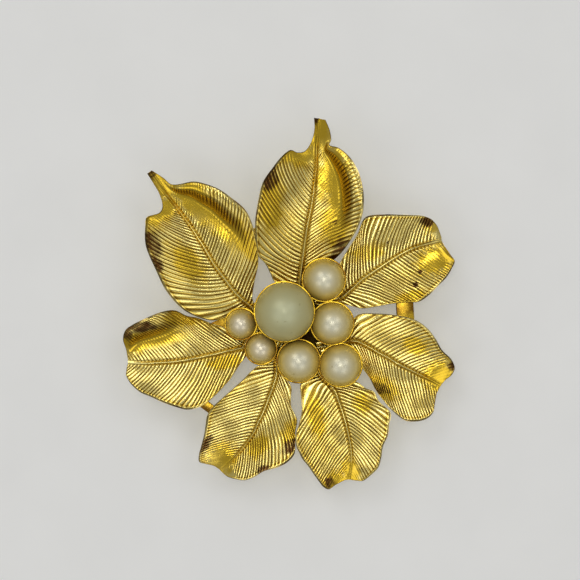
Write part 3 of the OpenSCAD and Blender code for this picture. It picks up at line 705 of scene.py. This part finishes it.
class Blade:
    """A leaf's smooth blade, as a grid of corners in rows that follow its veins.

    along and across are in hundredths of the leaf's length; z, away and run are in mm; share runs
    from 0 at the midrib to 1 at a rim; t is the station number.
    """

    def __init__(self, name, look):
        self.size, self.place, stations = LEAVES[name]
        self.finish = FINISH[name]
        self.seed = len(name) * 1.3
        self.stations = len(stations)
        self.pitch = look.vein_pitch / MM
        mids, lefts, rights = np.array(stations, dtype=float).transpose(1, 0, 2)
        fine, distance = midrib_run(mids, self.size)
        rows = int(distance[-1] / self.pitch * look.rows_per_vein)
        self.run = np.linspace(0, distance[-1], rows)[:, None]
        half = column_shares(look.columns)
        side = np.concatenate([half[::-1], -half[1:]])
        self.t = np.interp(self.run + self.vein_shift(side), distance, fine)
        mid, left, right = (
            smooth(path, self.t.ravel()).reshape(*self.t.shape, 3) for path in (mids, lefts, rights))
        rim = np.where(side[:, None] > 0, left, right)
        a = np.abs(side)[:, None]
        reach = np.linalg.norm((rim - mid)[:, :, :2], axis=2)
        bend = (mid + rim) / 2
        bend[:, :, 0] -= look.vein_bow * reach
        flat = (1 - a) ** 2 * mid + 2 * a * (1 - a) * bend + a**2 * rim
        self.along = flat[:, :, 0]
        self.across = flat[:, :, 1]
        self.share = np.abs(side)[None, :]
        self.away = self.share * (reach * self.size / 100)
        self.rolled = np.zeros_like(self.along)
        curl = self.curl(side, look.curl_power)
        self.z = mid[:, :, 2] + (rim - mid)[:, :, 2] * curl
        swell = soft_step(self.along, 5, 30) * soft_step(100 - self.along, 0, 12)
        self.z = self.z + look.swell / MM * ripple(self.along / 16, self.across / 16, self.seed) * swell

    def vein_shift(self, side):
        """How far along the midrib, in mm, each corner's station lies beyond its own row."""
        share = np.abs(side)
        sweep_right, sweep_left = self.finish["sweep"]
        lean_right, lean_left = self.finish["lean"]
        sweep = np.where(side > 0, sweep_left, sweep_right) * share**1.3
        lean = np.where(side > 0, lean_left, lean_right) * 4 * share * (1 - share)
        part = self.run / self.run[-1]
        swept = soft_step(part, 0, 0.3) * (1 - soft_step(part, 0.4, 1))
        return swept * (sweep + lean) * self.pitch

    def curl(self, side, power):
        """How much of its rim's height each corner takes; rolled notes where it is a rolled lip."""
        curl = self.share**power
        if not self.finish["roll"]:
            return curl
        roll_side, first, final = self.finish["roll"]
        window = soft_step(self.t, first - 1.5, first + 1.5)
        window = window * (1 - soft_step(self.t, final - 1.5, final + 0.5))
        self.rolled = window * (np.sign(side) == roll_side)
        lip = 0.3 * curl + 0.7 * soft_step(self.share, *ROLL_LIFT) - 0.06 * soft_step(self.share, *ROLL_TURN)
        return curl * (1 - self.rolled) + lip * self.rolled

    def patches(self, kind, soft):
        return patches(self.along, self.across, self.finish[kind], soft)

    def placed(self, z):
        """Corner points in metres, with the blade turned and moved to its place on the brooch."""
        x, y, heading = self.place
        c = math.cos(math.radians(heading))
        s = math.sin(math.radians(heading))
        length = self.along * self.size / 100
        width = self.across * self.size / 100
        return np.stack([x + c * length - s * width, y + s * length + c * width, z], axis=2) * MM


def vein_ridges(blade):
    """How near each corner is to the top of a vein, 0 to 1, and how boldly that vein is cut."""
    phase = blade.run / blade.pitch + 0.1 * ripple(blade.along / 9, blade.across / 9, blade.seed + 1)
    which = np.floor(phase)
    depth = 0.85 + 0.3 * np.sin(which * 2.4 + blade.seed) * np.sin(which * 0.9 + blade.across / 9)
    return np.abs(np.sin(np.pi * phase)) ** 0.6, depth


def engrave(blade, look):
    """Heights in mm of a blade's top side, with its marks: painted shade in the grooves, painted dim
    reflection, browning with painted shadow, and rim wear with a painted dark reflection.
    """
    share = blade.share
    flat = 1 - blade.rolled
    ridge, depth = vein_ridges(blade)
    line = (1 - ridge) ** 1.1
    inner = blade.rolled * soft_step(share, *ROLL_SMOOTH_START) * (1 - soft_step(share, *ROLL_SMOOTH_END))
    field = soft_step(blade.away, *VEINS_START) * (1 - soft_step(share, *VEINS_END))
    field = field * (1 - 0.94 * blade.patches("polished", 0.35)) * (1 - 0.85 * inner)
    field = field * soft_step(blade.t, *VEINS_FADE_IN)
    tail = 1 - 0.7 * soft_step(blade.t, blade.stations * 0.68, blade.stations - 1.5)
    groove = bell(blade.away, *GROOVE_LINE)
    z = blade.z + look.vein_depth / MM * field * depth * (ridge - 0.5)
    z = z + look.rib_height / MM * tail * (bell(blade.away, *RIB_LINE) - 0.3 * groove)
    z = z + look.border_height / MM * (soft_step(share, *BORDER_EDGE) * flat)
    # Patches of browning and painted shadow; the pits get painted shade inside them
    dark = blade.patches("dark", 0.45)
    for u, v, radius in blade.finish["pits"]:
        d = np.hypot(blade.along - u, blade.across - v) / radius
        z = z + PIT_RING * (bell(d, 1, 0.35) - 1.2 * bell(d, 0, 0.6))
        dark = np.maximum(dark, 1.3 * bell(d, 0.6, 0.55))
    # Painted shadow under a rolled lip
    lip_shadow = blade.rolled * bell(share, *LIP_SHADOW_LINE)
    # Painted shade in the grooves between veins, beside the midrib, inside the rim's border and under a
    # rolled lip
    hollow = field * depth * line + 0.45 * groove * tail
    hollow += 0.35 * bell(share, *RIM_SHADE_LINE) * flat
    hollow += lip_shadow * (0.25 + 0.75 * line)
    marks = {
        "hollow": hollow,
        # Painted dim reflections, and painted shade inside a rolled lip
        "warm": np.maximum(blade.patches("warm", 0.5), inner),
        "dark": np.maximum(dark * (0.65 + 0.35 * line), lip_shadow * line),
        # Rim band for wear and for a painted dark reflection
        "wear": soft_step(share, *WORN_AND_REFLECTION_EDGE) + np.zeros_like(z),
    }
    return z, marks


def grid_sheet(points, marks):
    """A plane grid, moved corner by corner on to the given points."""
    rows, columns = points.shape[:2]
    start_clean()
    bpy.ops.mesh.primitive_grid_add(x_subdivisions=columns - 1, y_subdivisions=rows - 1, size=1)
    sheet = bpy.context.object
    corners = np.zeros(rows * columns * 3)
    sheet.data.vertices.foreach_get("co", corners)
    corners = corners.reshape(-1, 3)
    order = np.lexsort((corners[:, 0], corners[:, 1]))
    placed = np.zeros_like(corners)
    placed[order] = points.reshape(-1, 3)
    sheet.data.vertices.foreach_set("co", placed.ravel())
    for name, mark in marks.items():
        layer = sheet.data.attributes.new(name, "FLOAT", "POINT")
        value = np.zeros(len(corners))
        value[order] = mark.ravel()
        layer.data.foreach_set("value", value)
    return sheet


def make_leaf(name, look, material):
    """A leaf with an engraved top and a plain underside, bridged and rounded at its rim."""
    blade = Blade(name, look)
    top, marks = engrave(blade, look)
    unmarked = {mark: np.zeros_like(top) for mark in marks}
    thickness = look.leaf_thickness / MM
    upper = grid_sheet(blade.placed(top + (SEAT_Z + thickness)), marks)
    lower = grid_sheet(blade.placed((blade.z - thickness) + (SEAT_Z + thickness)), unmarked)
    only(lower)
    bpy.ops.object.mode_set(mode="EDIT")
    bpy.ops.mesh.select_all(action="SELECT")
    bpy.ops.mesh.flip_normals()
    bpy.ops.object.mode_set(mode="OBJECT")
    leaf = join_pieces([upper, lower])
    bpy.ops.object.mode_set(mode="EDIT")
    bpy.ops.mesh.select_mode(type="EDGE")
    bpy.ops.mesh.select_all(action="DESELECT")
    bpy.ops.mesh.select_non_manifold(extend=False)
    bpy.ops.mesh.bridge_edge_loops()
    bpy.ops.mesh.select_all(action="SELECT")
    bpy.ops.mesh.normals_make_consistent(inside=False)
    bpy.ops.object.mode_set(mode="OBJECT")
    leaf.data.shade_smooth()
    apply_modifier(
        leaf, "BEVEL", width=look.leaf_thickness * 0.22, segments=3, limit_method="ANGLE",
        angle_limit=math.radians(68), use_clamp_overlap=True, harden_normals=False,
    )
    bpy.ops.object.shade_smooth_by_angle(angle=math.radians(80))
    finish_piece(leaf, f"engraved_leaf_{name}", material, replaces=(f"leaf_{name}",))


# ---------------------------------------------------------------- pearls and cups


def make_pearl(place_name, material):
    """A ball drilled from below, marked by how near each corner is to its edge."""
    node = f"pearl_{place_name}"
    middle, width = middle_and_width(node)
    radius = width / 2
    start_clean()
    bpy.ops.mesh.primitive_uv_sphere_add(segments=72, ring_count=48, radius=radius, location=middle)
    bpy.ops.object.transform_apply(location=True, rotation=True, scale=True)
    ball = bpy.context.object
    bpy.ops.object.mode_set(mode="EDIT")
    bpy.ops.mesh.select_mode(type="FACE")
    bpy.ops.mesh.select_all(action="DESELECT")
    bpy.ops.object.mode_set(mode="OBJECT")
    for face in ball.data.polygons:
        away = math.hypot(face.center[0] - middle[0], face.center[1] - middle[1])
        face.select = away < 1.3 * DRILL_R and face.center[2] < middle[2]
    bpy.ops.object.mode_set(mode="EDIT")
    bpy.ops.mesh.inset(thickness=0.1 * DRILL_R)
    bpy.ops.mesh.extrude_region_move(TRANSFORM_OT_translate={"value": (0, 0, DRILL_DEPTH * radius)})
    bpy.ops.object.mode_set(mode="OBJECT")
    bpy.ops.object.shade_smooth_by_angle(angle=math.radians(50))
    # The edge mark, where the lacquer gets its painted gold reflection and shade
    limb = ball.data.attributes.new("limb", "FLOAT", "POINT")
    for corner, mark in zip(ball.data.vertices, limb.data):
        away = math.hypot(corner.co.x - middle[0], corner.co.y - middle[1]) / radius
        mark.value = 1.0
        if corner.co.z > middle[2]:
            mark.value = min(1.0, max(0.0, (away - REFLECTION_EDGE_START) / REFLECTION_EDGE_WIDTH))
    finish_piece(ball, f"pearl_bead_{place_name}", material, replaces=(node,))


def arc(radius, first, last):
    return [(radius * math.sin(g), -radius * math.cos(g)) for g in np.linspace(first, last, CUP_STEPS)]


def cup_profile(radius, base, look):
    """Half section of a cup about its pearl's middle: foot, outside, rolled lip and inside."""
    inner = radius + CUP_GAP
    outer = inner + look.cup_wall
    rim = math.radians(look.cup_angle)
    outside = arc(outer, math.asin(FOOT_R / outer), rim)
    inside = arc(inner, rim, CUP_FLOOR_ANGLE)
    lip_r, lip_z = outside[-1]
    foot = [(0.0, base), (FOOT_R, base), (FOOT_R * 0.92, base + FOOT_BEVEL)]
    lip = [(lip_r + out * MM, lip_z + up * MM) for out, up in LIP]
    return foot + outside + lip + inside + [(0.0, inside[-1][1])]


def make_cup(place_name, look, material):
    """A dished cup spun round its axis, with a rolled lip and a foot."""
    node = f"cup_{place_name}"
    middle, width = middle_and_width(f"pearl_{place_name}")
    profile = cup_profile(width / 2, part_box(node)[0][2] - middle[2], look)
    start_clean()
    bpy.ops.mesh.primitive_plane_add(size=MM, location=(0, 0, 0))
    cup = bpy.context.object
    work = bmesh.new()
    corners = [work.verts.new((middle[0] + r, middle[1], middle[2] + z)) for r, z in profile]
    for first, second in zip(corners, corners[1:]):
        work.edges.new((first, second))
    work.to_mesh(cup.data)
    work.free()
    bpy.ops.object.mode_set(mode="EDIT")
    bpy.ops.mesh.select_all(action="SELECT")
    bpy.ops.mesh.spin(steps=56, angle=2 * math.pi, center=middle, axis=(0, 0, 1), use_auto_merge=True)
    bpy.ops.mesh.select_all(action="SELECT")
    bpy.ops.mesh.remove_doubles(threshold=0.002 * MM)
    bpy.ops.mesh.normals_make_consistent(inside=False)
    bpy.ops.object.mode_set(mode="OBJECT")
    bpy.ops.object.shade_smooth_by_angle(angle=math.radians(40))
    finish_piece(cup, f"pearl_cup_{place_name}", material, replaces=(node,))


# ---------------------------------------------------------------- struts and solder


def rounded_bar(node, name, material):
    """A flat bar made from a copy of the frame's own bar, with its edges softened."""
    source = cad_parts[node]
    bar = source.copy()
    bar.data = source.data.copy()
    bpy.context.collection.objects.link(bar)
    bar.parent = None
    only(bar)
    bpy.ops.object.mode_set(mode="EDIT")
    bpy.ops.mesh.select_all(action="SELECT")
    bpy.ops.mesh.remove_doubles(threshold=0.001 * MM)
    bpy.ops.mesh.dissolve_limited(angle_limit=math.radians(1))
    bpy.ops.object.mode_set(mode="OBJECT")
    apply_modifier(
        bar, "BEVEL", width=0.16 * MM, segments=3, limit_method="ANGLE", angle_limit=math.radians(40))
    bpy.ops.object.shade_smooth_by_angle(angle=math.radians(40))
    finish_piece(bar, name, material, replaces=(node,))


def make_solder(look, material):
    """A frozen bead of solder where the sides of the two long leaves meet."""
    middle, _ = middle_and_width("solder_bridge_top")
    start_clean()
    bpy.ops.mesh.primitive_ico_sphere_add(subdivisions=4, radius=look.solder_r, location=middle)
    bead = bpy.context.object
    bpy.ops.transform.resize(value=(0.8, 1.5, 0.9))
    bpy.ops.object.transform_apply(location=True, rotation=True, scale=True)
    start = bead.data.vertices[0].co.copy()
    for vertex in bead.data.vertices:
        offset = (vertex.co - start) / MM
        vertex.co.z += look.solder_swell * math.sin(2.6 * offset.x + 1.1 * offset.y)
    bead.data.shade_smooth()
    finish_piece(bead, "solder_bead", material, replaces=("solder_bridge_top",))


# ---------------------------------------------------------------- settings


class BroochLeafSettings(bpy.types.PropertyGroup):
    leaf_thickness: bpy.props.FloatProperty(
        name="Leaf thickness", description="Wall of the cast leaves", default=0.8 * MM, unit="LENGTH")
    rib_height: bpy.props.FloatProperty(
        name="Midrib height", description="Height of the midrib above the blade",
        default=0.34 * MM, unit="LENGTH")
    vein_pitch: bpy.props.FloatProperty(
        name="Vein pitch", description="Distance between veins along the midrib",
        default=0.64 * MM, unit="LENGTH")
    vein_depth: bpy.props.FloatProperty(
        name="Vein depth", description="Height of a vein above its groove", default=0.15 * MM, unit="LENGTH")
    swell: bpy.props.FloatProperty(
        name="Swell", description="Height of the slow waves in a blade", default=0.16 * MM, unit="LENGTH")
    border_height: bpy.props.FloatProperty(
        name="Border", description="Height of the thin border along a rim", default=0.06 * MM, unit="LENGTH")
    vein_bow: bpy.props.FloatProperty(
        name="Vein bow", description="How far a vein bows back, as a share of its length", default=0.08)
    curl_power: bpy.props.FloatProperty(
        name="Curl", description="How late the blade curls up towards its rim", default=2.2)
    rows_per_vein: bpy.props.IntProperty(
        name="Rows per vein", description="Rows of corners that shape one vein", default=10)
    columns: bpy.props.IntProperty(
        name="Columns", description="Columns of corners from the midrib to a rim", default=36)
    solder_r: bpy.props.FloatProperty(
        name="Solder bead", description="Radius of the bead of solder", default=0.75 * MM, unit="LENGTH")
    solder_swell: bpy.props.FloatProperty(
        name="Solder waves", description="Height of its waves", default=0.06 * MM, unit="LENGTH")
    gold: bpy.props.FloatVectorProperty(
        name="Gold", description="Colour of the gold plate", subtype="COLOR", size=3,
        default=(0.74, 0.5, 0.04))
    # A paler copy of the gold that paints the highlights on the leaves
    gold_lit: bpy.props.FloatVectorProperty(
        name="Pale gold", description="Colour of its palest parts", subtype="COLOR", size=3,
        default=(0.86, 0.72, 0.25))
    # Random deep tone on the cups, struts and finding, and painted shade in the leaves' grooves
    gold_deep_and_shade: bpy.props.FloatVectorProperty(
        name="Deep gold", description="Colour in hollows and grooves", subtype="COLOR", size=3,
        default=(0.2, 0.095, 0.01))
    # Brown for patches that are partly browning and partly painted shadow, and for the painted shade on the
    # plate's front
    gold_brown_and_shadow: bpy.props.FloatVectorProperty(
        name="Browned gold", description="Colour of browned patches", subtype="COLOR", size=3,
        default=(0.1, 0.045, 0.012))
    # Dark for the rims, partly wear and partly a painted dark reflection
    gold_worn_and_dark_reflection: bpy.props.FloatVectorProperty(
        name="Worn gold", description="Colour of the worn rims", subtype="COLOR", size=3,
        default=(0.08, 0.045, 0.015))


class BroochPearlSettings(bpy.types.PropertyGroup):
    cup_wall: bpy.props.FloatProperty(
        name="Cup wall", description="Wall of the pearl cups", default=0.3 * MM, unit="LENGTH")
    cup_angle: bpy.props.FloatProperty(
        name="Cup angle", description="Angle from the bottom of a pearl up to its cup's rim, in degrees",
        default=76.0)
    grey: bpy.props.FloatVectorProperty(
        name="Grey cream", description="Tint of the large pearl", subtype="COLOR", size=3,
        default=(0.62, 0.63, 0.38))
    cream: bpy.props.FloatVectorProperty(
        name="Cream", description="Tint of the medium pearls", subtype="COLOR", size=3,
        default=(0.84, 0.81, 0.61))
    pink: bpy.props.FloatVectorProperty(
        name="Pink cream", description="Tint of the small pearls", subtype="COLOR", size=3,
        default=(0.9, 0.82, 0.62))
    # The edge tones paint the reflection of the gold leaves and the shade towards a pearl's edge
    limb: bpy.props.FloatVectorProperty(
        name="Limb", description="Yellower tone at the edge of a pearl", subtype="COLOR", size=3,
        default=(0.74, 0.56, 0.12))
    gold_reflection_edge_grey: bpy.props.FloatVectorProperty(
        name="Grey limb", description="Tone at the edge of the large pearl", subtype="COLOR", size=3,
        default=(0.52, 0.46, 0.18))


class BroochStageSettings(bpy.types.PropertyGroup):
    floor_size: bpy.props.FloatProperty(
        name="Floor", description="Width of the floor", default=1.2, unit="LENGTH")
    floor_colour: bpy.props.FloatVectorProperty(
        name="Floor colour", description="Colour of the floor", subtype="COLOR", size=3,
        default=(0.7, 0.707, 0.7))
    floor_glow: bpy.props.FloatProperty(
        name="Floor glow", description="How much light comes up through the floor", default=0.3)
    camera_height: bpy.props.FloatProperty(
        name="Camera height", description="Height of the camera above the floor", default=0.4, unit="LENGTH")
    camera_place: bpy.props.FloatVectorProperty(
        name="Camera place", description="Point on the floor that the camera looks down on",
        size=2, default=(0.14 * MM, 2.38 * MM), unit="LENGTH")
    frame_width: bpy.props.FloatProperty(
        name="Width in view", description="Width that the camera sees at the leaves",
        default=0.0986, unit="LENGTH")
    brightness: bpy.props.FloatProperty(
        name="Brightness", description="Brightness of the soft boxes", default=0.84)
    room_light: bpy.props.FloatProperty(
        name="Room light", description="Brightness of the room round the stage", default=0.84)
    light_colour: bpy.props.FloatVectorProperty(
        name="Light colour", description="Colour of the soft boxes", subtype="COLOR", size=3,
        default=(1.0, 0.98, 0.95))


# ---------------------------------------------------------------- stage


def lay_floor(look):
    bpy.ops.mesh.primitive_plane_add(size=look.floor_size, location=(0, 0, 0))
    floor = bpy.context.object
    floor.name = "floor"
    tree = paint("floor_paper")
    shade = tree.ramp(tree.noise(60, 3), (0.3, dimmed(look.floor_colour, 0.97)), (0.7, look.floor_colour))
    # Painted light: the floor glows a little to thin the shadows round the brooch
    floor.data.materials.append(tree.finish(
        "Principled BSDF", Base_Color=shade, Roughness=0.9, Emission_Color=shade,
        Emission_Strength=look.floor_glow))
    floor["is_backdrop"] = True


def hang_lights(look):
    """Hangs round soft boxes that face the middle of the floor; a wider one gives more light."""
    for name, azimuth, elevation, distance, width, glow in SOFTBOXES:
        turn = math.radians(azimuth)
        lift = math.radians(elevation)
        flat = distance * math.cos(lift)
        spot = (flat * math.cos(turn), flat * math.sin(turn), distance * math.sin(lift))
        bpy.ops.object.light_add(
            type="AREA", location=spot, rotation=(0, math.pi / 2 - lift, turn), align="WORLD")
        lamp = bpy.context.object
        lamp.name = name
        lamp.data.shape = "DISK"
        lamp.data.size = width
        lamp.data.energy = glow * look.brightness * math.pi**2 * width**2 / 4
        lamp.data.color = look.light_colour


def light_room(scene, look):
    tree = Tree(bpy.data.worlds.new("room"))
    height = tree.height(tree.node("ShaderNodeTexCoord").outputs["Generated"])
    scene.world = tree.finish("Background", Color=tree.ramp(height, *ROOM_TONES), Strength=look.room_light)


def set_camera(scene, look):
    data = bpy.data.cameras.new("camera")
    camera = bpy.data.objects.new("camera", data)
    scene.collection.objects.link(camera)
    camera.location = (*look.camera_place, look.camera_height)
    leaf_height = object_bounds()[1][2] / 2
    data.angle = 2 * math.atan(look.frame_width / 2 / (look.camera_height - leaf_height))
    data.clip_start = 10 * MM
    scene.camera = camera
    scene.view_settings.view_transform = "Standard"


# ---------------------------------------------------------------- operators


class BROOCH_OT_leaves(bpy.types.Operator):
    """Models the seven engraved leaves"""

    bl_idname = "brooch.leaves"
    bl_label = "Engraved leaves"

    def execute(self, context):
        look = context.scene.brooch_leaves
        material = leaf_gold(look)
        for name in LEAVES:
            make_leaf(name, look, material)
        return {"FINISHED"}


class BROOCH_OT_pearls(bpy.types.Operator):
    """Models the seven pearls and their cups"""

    bl_idname = "brooch.pearls"
    bl_label = "Pearls and cups"

    def execute(self, context):
        look = context.scene.brooch_pearls
        lacquers = {}
        for tint, (_, edge, gloss, sheen) in LACQUERS.items():
            lacquers[tint] = pearl_lacquer(
                f"pearl_{tint}", getattr(look, tint), getattr(look, edge), gloss, sheen)
        cup_gold = plain_gold("cup_gold", context.scene.brooch_leaves, 0.18)
        for place_name, tint in PEARLS.items():
            make_pearl(place_name, lacquers[tint])
            make_cup(place_name, look, cup_gold)
        return {"FINISHED"}


class BROOCH_OT_joins(bpy.types.Operator):
    """Models the struts and the bead of solder between the leaves"""

    bl_idname = "brooch.joins"
    bl_label = "Struts and solder"

    def execute(self, context):
        look = context.scene.brooch_leaves
        gold = plain_gold("strut_gold", look, 0.2)
        rounded_bar("strut_right", "flat_strut_right", gold)
        rounded_bar("strut_lower_left", "flat_strut_lower_left", gold)
        make_solder(look, gold)
        return {"FINISHED"}


class BROOCH_OT_finding(bpy.types.Operator):
    """Gives the plate, hinge, pin and catch on the back their finishes"""

    bl_idname = "brooch.finding"
    bl_label = "Plate and pin finding"

    def execute(self, context):
        look = context.scene.brooch_leaves
        finishes = dict.fromkeys(GOLD_FINDING, plain_gold("finding_gold", look, 0.26))
        finishes["centre_plate"] = plate_gold(look)
        finishes["pin_stem"] = steel_wire()
        for node, finish in finishes.items():
            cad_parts[node].data.materials.clear()
            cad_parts[node].data.materials.append(finish)
        return {"FINISHED"}


class BROOCH_OT_stage(bpy.types.Operator):
    """Lays the floor, hangs the lights and sets the camera straight above"""

    bl_idname = "brooch.stage"
    bl_label = "Stage"

    def execute(self, context):
        look = context.scene.brooch_stage
        start_clean()
        lay_floor(look)
        hang_lights(look)
        light_room(context.scene, look)
        set_camera(context.scene, look)
        return {"FINISHED"}


class BROOCH_PT_panel(bpy.types.Panel):
    """Buttons that build the brooch, and all of its settings"""

    bl_idname = "BROOCH_PT_panel"
    bl_label = "Leaf and pearl brooch"
    bl_space_type = "VIEW_3D"
    bl_region_type = "UI"
    bl_category = "Brooch"

    def draw(self, context):
        for operator in OPERATORS:
            self.layout.operator(operator.bl_idname)
        for key, group in SETTINGS.items():
            box = self.layout.box()
            for name in group.__annotations__:
                box.prop(getattr(context.scene, key), name)


SETTINGS = {
    "brooch_leaves": BroochLeafSettings,
    "brooch_pearls": BroochPearlSettings,
    "brooch_stage": BroochStageSettings,
}
OPERATORS = (BROOCH_OT_leaves, BROOCH_OT_pearls, BROOCH_OT_joins, BROOCH_OT_finding, BROOCH_OT_stage)
CLASSES = (*SETTINGS.values(), *OPERATORS, BROOCH_PT_panel)


def register():
    for item in CLASSES:
        bpy.utils.register_class(item)
    for key, group in SETTINGS.items():
        setattr(bpy.types.Scene, key, bpy.props.PointerProperty(type=group))


def unregister():
    for key in SETTINGS:
        delattr(bpy.types.Scene, key)
    for item in reversed(CLASSES):
        bpy.utils.unregister_class(item)


def main():
    register()
    bpy.ops.brooch.leaves()
    bpy.ops.brooch.pearls()
    bpy.ops.brooch.joins()
    bpy.ops.brooch.finding()
    bpy.ops.brooch.stage()


if __name__ == "__main__":
    main()
